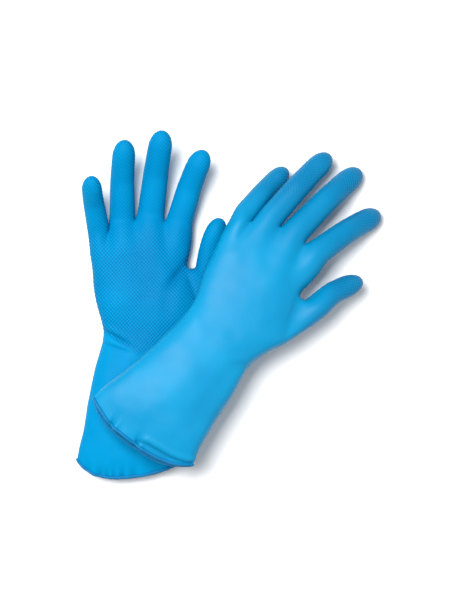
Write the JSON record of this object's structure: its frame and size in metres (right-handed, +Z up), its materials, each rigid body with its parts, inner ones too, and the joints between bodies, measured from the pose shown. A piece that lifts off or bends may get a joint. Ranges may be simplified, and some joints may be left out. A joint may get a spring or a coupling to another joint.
{
  "type": "rubber gloves",
  "caption": "Pair of long household rubber gloves lying crossed, one palm up and one palm down, with flared sleeves, rolled cuffs and a diamond grip.",
  "frame": {"origin": "middle of the pair's outline, on the surface that the gloves lie on", "axes": "+Y along the right glove from its sleeve to its fingertips, +X towards the left glove's fingertips, +Z up"},
  "size_m": [0.2708, 0.3078, 0.0711],
  "materials": {
    "right_skin": "satin blue dipped rubber",
    "left_skin": "satin blue dipped rubber",
    "rolled_edge": "satin blue dipped rubber, rolled"
  },
  "bodies": {
    "right hand": {"right_hand": "right_skin"},
    "right sleeve": {"right_sleeve": "right_skin", "right_cuff_bead": "rolled_edge"},
    "right little finger base": {"right_little_finger_base": "right_skin"},
    "right little finger mid": {"right_little_finger_mid": "right_skin"},
    "right little finger tip": {"right_little_finger_tip": "right_skin"},
    "right ring finger base": {"right_ring_finger_base": "right_skin"},
    "right ring finger mid": {"right_ring_finger_mid": "right_skin"},
    "right ring finger tip": {"right_ring_finger_tip": "right_skin"},
    "right middle finger base": {"right_middle_finger_base": "right_skin"},
    "right middle finger mid": {"right_middle_finger_mid": "right_skin"},
    "right middle finger tip": {"right_middle_finger_tip": "right_skin"},
    "right index finger base": {"right_index_finger_base": "right_skin"},
    "right index finger mid": {"right_index_finger_mid": "right_skin"},
    "right index finger tip": {"right_index_finger_tip": "right_skin"},
    "right thumb base": {"right_thumb_base": "right_skin"},
    "right thumb tip": {"right_thumb_tip": "right_skin"},
    "left hand": {"left_hand": "left_skin"},
    "left sleeve": {"left_sleeve": "left_skin", "left_cuff_bead": "rolled_edge"},
    "left little finger base": {"left_little_finger_base": "left_skin"},
    "left little finger mid": {"left_little_finger_mid": "left_skin"},
    "left little finger tip": {"left_little_finger_tip": "left_skin"},
    "left ring finger base": {"left_ring_finger_base": "left_skin"},
    "left ring finger mid": {"left_ring_finger_mid": "left_skin"},
    "left ring finger tip": {"left_ring_finger_tip": "left_skin"},
    "left middle finger base": {"left_middle_finger_base": "left_skin"},
    "left middle finger mid": {"left_middle_finger_mid": "left_skin"},
    "left middle finger tip": {"left_middle_finger_tip": "left_skin"},
    "left index finger base": {"left_index_finger_base": "left_skin"},
    "left index finger mid": {"left_index_finger_mid": "left_skin"},
    "left index finger tip": {"left_index_finger_tip": "left_skin"},
    "left thumb base": {"left_thumb_base": "left_skin"},
    "left thumb tip": {"left_thumb_tip": "left_skin"}
  },
  "joints": [
    {"name": "left glove lift", "type": "slide", "parent": "right hand", "child": "left hand", "axis": [0, 0, 1], "range_m": [0, 0.2]},
    {"name": "right wrist", "type": "hinge", "parent": "right hand", "child": "right sleeve", "pos_m": [-0.07144, -0.03207, -0.0048], "axis": [0.9998, -0.0175, 0], "range_deg": [0, 40], "stiffness_Nm_per_rad": 0.15},
    {"name": "right little finger knuckle", "type": "hinge", "parent": "right hand", "child": "right little finger base", "pos_m": [-0.11229, 0.06318, 0.02368], "axis": [0.9877, 0.1564, 0], "range_deg": [-6, 70], "stiffness_Nm_per_rad": 0.02},
    {"name": "right little finger middle joint", "type": "hinge", "parent": "right little finger base", "child": "right little finger mid", "pos_m": [-0.11588, 0.08464, 0.03584], "axis": [0.9925, 0.1219, 0], "range_deg": [0, 82], "stiffness_Nm_per_rad": 0.02},
    {"name": "right little finger end joint", "type": "hinge", "parent": "right little finger mid", "child": "right little finger tip", "pos_m": [-0.11731, 0.09504, 0.04562], "axis": [0.9994, 0.0349, 0], "range_deg": [0, 55], "stiffness_Nm_per_rad": 0.02},
    {"name": "right ring finger knuckle", "type": "hinge", "parent": "right hand", "child": "right ring finger base", "pos_m": [-0.092, 0.0733, 0.0213], "axis": [0.9998, -0.0175, 0], "range_deg": [-6, 70], "stiffness_Nm_per_rad": 0.02},
    {"name": "right ring finger middle joint", "type": "hinge", "parent": "right ring finger base", "child": "right ring finger mid", "pos_m": [-0.0916, 0.1055, 0.03525], "axis": [0.9986, -0.0523, 0], "range_deg": [0, 75], "stiffness_Nm_per_rad": 0.02},
    {"name": "right ring finger end joint", "type": "hinge", "parent": "right ring finger mid", "child": "right ring finger tip", "pos_m": [-0.09037, 0.12324, 0.04736], "axis": [0.9936, -0.1132, 0], "range_deg": [0, 50], "stiffness_Nm_per_rad": 0.02},
    {"name": "right middle finger knuckle", "type": "hinge", "parent": "right hand", "child": "right middle finger base", "pos_m": [-0.06695, 0.07828, 0.02223], "axis": [0.9903, -0.1392, 0], "range_deg": [-6, 70], "stiffness_Nm_per_rad": 0.02},
    {"name": "right middle finger middle joint", "type": "hinge", "parent": "right middle finger base", "child": "right middle finger mid", "pos_m": [-0.06235, 0.1116, 0.03474], "axis": [0.9877, -0.1564, 0], "range_deg": [0, 75], "stiffness_Nm_per_rad": 0.02},
    {"name": "right middle finger end joint", "type": "hinge", "parent": "right middle finger mid", "child": "right middle finger tip", "pos_m": [-0.05914, 0.13082, 0.04755], "axis": [0.9816, -0.1908, 0], "range_deg": [0, 50], "stiffness_Nm_per_rad": 0.02},
    {"name": "right index finger knuckle", "type": "hinge", "parent": "right hand", "child": "right index finger base", "pos_m": [-0.04192, 0.07166, 0.02222], "axis": [0.9563, -0.2924, 0], "range_deg": [-6, 70], "stiffness_Nm_per_rad": 0.02},
    {"name": "right index finger middle joint", "type": "hinge", "parent": "right index finger base", "child": "right index finger mid", "pos_m": [-0.03332, 0.10031, 0.031], "axis": [0.9426, -0.3338, 0], "range_deg": [0, 75], "stiffness_Nm_per_rad": 0.02},
    {"name": "right index finger end joint", "type": "hinge", "parent": "right index finger mid", "child": "right index finger tip", "pos_m": [-0.02705, 0.11669, 0.0396], "axis": [0.9135, -0.4067, 0], "range_deg": [0, 50], "stiffness_Nm_per_rad": 0.02},
    {"name": "right thumb knuckle", "type": "hinge", "parent": "right hand", "child": "right thumb base", "pos_m": [-0.02616, 0.02914, 0.0209], "axis": [0.451, -0.3219, 0.8325], "range_deg": [-6, 30], "stiffness_Nm_per_rad": 0.02},
    {"name": "right thumb joint", "type": "hinge", "parent": "right thumb base", "child": "right thumb tip", "pos_m": [-0.02144, 0.0535, 0.02771], "axis": [0.4376, -0.3824, 0.8138], "range_deg": [0, 45], "stiffness_Nm_per_rad": 0.02},
    {"name": "left wrist", "type": "hinge", "parent": "left hand", "child": "left sleeve", "pos_m": [-0.00191, -0.02527, 0.06583], "axis": [-0.829, 0.5592, 0], "range_deg": [0, 40], "stiffness_Nm_per_rad": 0.15},
    {"name": "left little finger knuckle", "type": "hinge", "parent": "left hand", "child": "left little finger base", "pos_m": [0.01468, 0.07716, 0.0289], "axis": [-0.7662, 0.6425, -0.0082], "range_deg": [-6, 70], "stiffness_Nm_per_rad": 0.02},
    {"name": "left little finger middle joint", "type": "hinge", "parent": "left little finger base", "child": "left little finger mid", "pos_m": [0.03016, 0.09564, 0.02117], "axis": [-0.7492, 0.6623, -0.0102], "range_deg": [0, 82], "stiffness_Nm_per_rad": 0.02},
    {"name": "left little finger end joint", "type": "hinge", "parent": "left little finger mid", "child": "left little finger tip", "pos_m": [0.03904, 0.10531, 0.01467], "axis": [-0.7136, 0.7004, -0.0143], "range_deg": [0, 55], "stiffness_Nm_per_rad": 0.02},
    {"name": "left ring finger knuckle", "type": "hinge", "parent": "left hand", "child": "left ring finger base", "pos_m": [0.03843, 0.07481, 0.03054], "axis": [-0.7549, 0.6557, -0.0096], "range_deg": [-6, 70], "stiffness_Nm_per_rad": 0.02},
    {"name": "left ring finger middle joint", "type": "hinge", "parent": "left ring finger base", "child": "left ring finger mid", "pos_m": [0.06112, 0.10089, 0.02452], "axis": [-0.7434, 0.6688, -0.0109], "range_deg": [0, 75], "stiffness_Nm_per_rad": 0.02},
    {"name": "left ring finger end joint", "type": "hinge", "parent": "left ring finger mid", "child": "left ring finger tip", "pos_m": [0.07457, 0.11539, 0.01709], "axis": [-0.7136, 0.7004, -0.0143], "range_deg": [0, 50], "stiffness_Nm_per_rad": 0.02},
    {"name": "left middle finger knuckle", "type": "hinge", "parent": "left hand", "child": "left middle finger base", "pos_m": [0.06153, 0.06403, 0.02963], "axis": [-0.7196, 0.6942, -0.0136], "range_deg": [-6, 70], "stiffness_Nm_per_rad": 0.02},
    {"name": "left middle finger middle joint", "type": "hinge", "parent": "left middle finger base", "child": "left middle finger mid", "pos_m": [0.08555, 0.08886, 0.02017], "axis": [-0.7013, 0.7127, -0.0156], "range_deg": [0, 75], "stiffness_Nm_per_rad": 0.02},
    {"name": "left middle finger end joint", "type": "hinge", "parent": "left middle finger mid", "child": "left middle finger tip", "pos_m": [0.10016, 0.10247, 0.00904], "axis": [-0.6695, 0.7425, -0.019], "range_deg": [0, 50], "stiffness_Nm_per_rad": 0.02},
    {"name": "left index finger knuckle", "type": "hinge", "parent": "left hand", "child": "left index finger base", "pos_m": [0.07799, 0.04387, 0.03065], "axis": [-0.5884, 0.8081, -0.0268], "range_deg": [-6, 70], "stiffness_Nm_per_rad": 0.02},
    {"name": "left index finger middle joint", "type": "hinge", "parent": "left index finger base", "child": "left index finger mid", "pos_m": [0.10164, 0.0609, 0.02031], "axis": [-0.5598, 0.8281, -0.0294], "range_deg": [0, 75], "stiffness_Nm_per_rad": 0.02},
    {"name": "left index finger end joint", "type": "hinge", "parent": "left index finger mid", "child": "left index finger tip", "pos_m": [0.11521, 0.06934, 0.01025], "axis": [-0.5083, 0.8605, -0.0338], "range_deg": [0, 50], "stiffness_Nm_per_rad": 0.02},
    {"name": "left thumb knuckle", "type": "hinge", "parent": "left hand", "child": "left thumb base", "pos_m": [0.06942, -0.00053, 0.03373], "axis": [-0.2692, 0.6375, 0.7219], "range_deg": [-6, 15], "stiffness_Nm_per_rad": 0.02},
    {"name": "left thumb joint", "type": "hinge", "parent": "left thumb base", "child": "left thumb tip", "pos_m": [0.08836, 0.01538, 0.02693], "axis": [-0.1836, 0.6967, 0.6934], "range_deg": [0, 30], "stiffness_Nm_per_rad": 0.02}
  ],
  "couplings": [
    {"joint": "right little finger end joint", "follows": "right little finger middle joint", "ratio": 0.66},
    {"joint": "right ring finger end joint", "follows": "right ring finger middle joint", "ratio": 0.66},
    {"joint": "right middle finger end joint", "follows": "right middle finger middle joint", "ratio": 0.66},
    {"joint": "right index finger end joint", "follows": "right index finger middle joint", "ratio": 0.66},
    {"joint": "left little finger end joint", "follows": "left little finger middle joint", "ratio": 0.66},
    {"joint": "left ring finger end joint", "follows": "left ring finger middle joint", "ratio": 0.66},
    {"joint": "left middle finger end joint", "follows": "left middle finger middle joint", "ratio": 0.66},
    {"joint": "left index finger end joint", "follows": "left index finger middle joint", "ratio": 0.66}
  ]
}
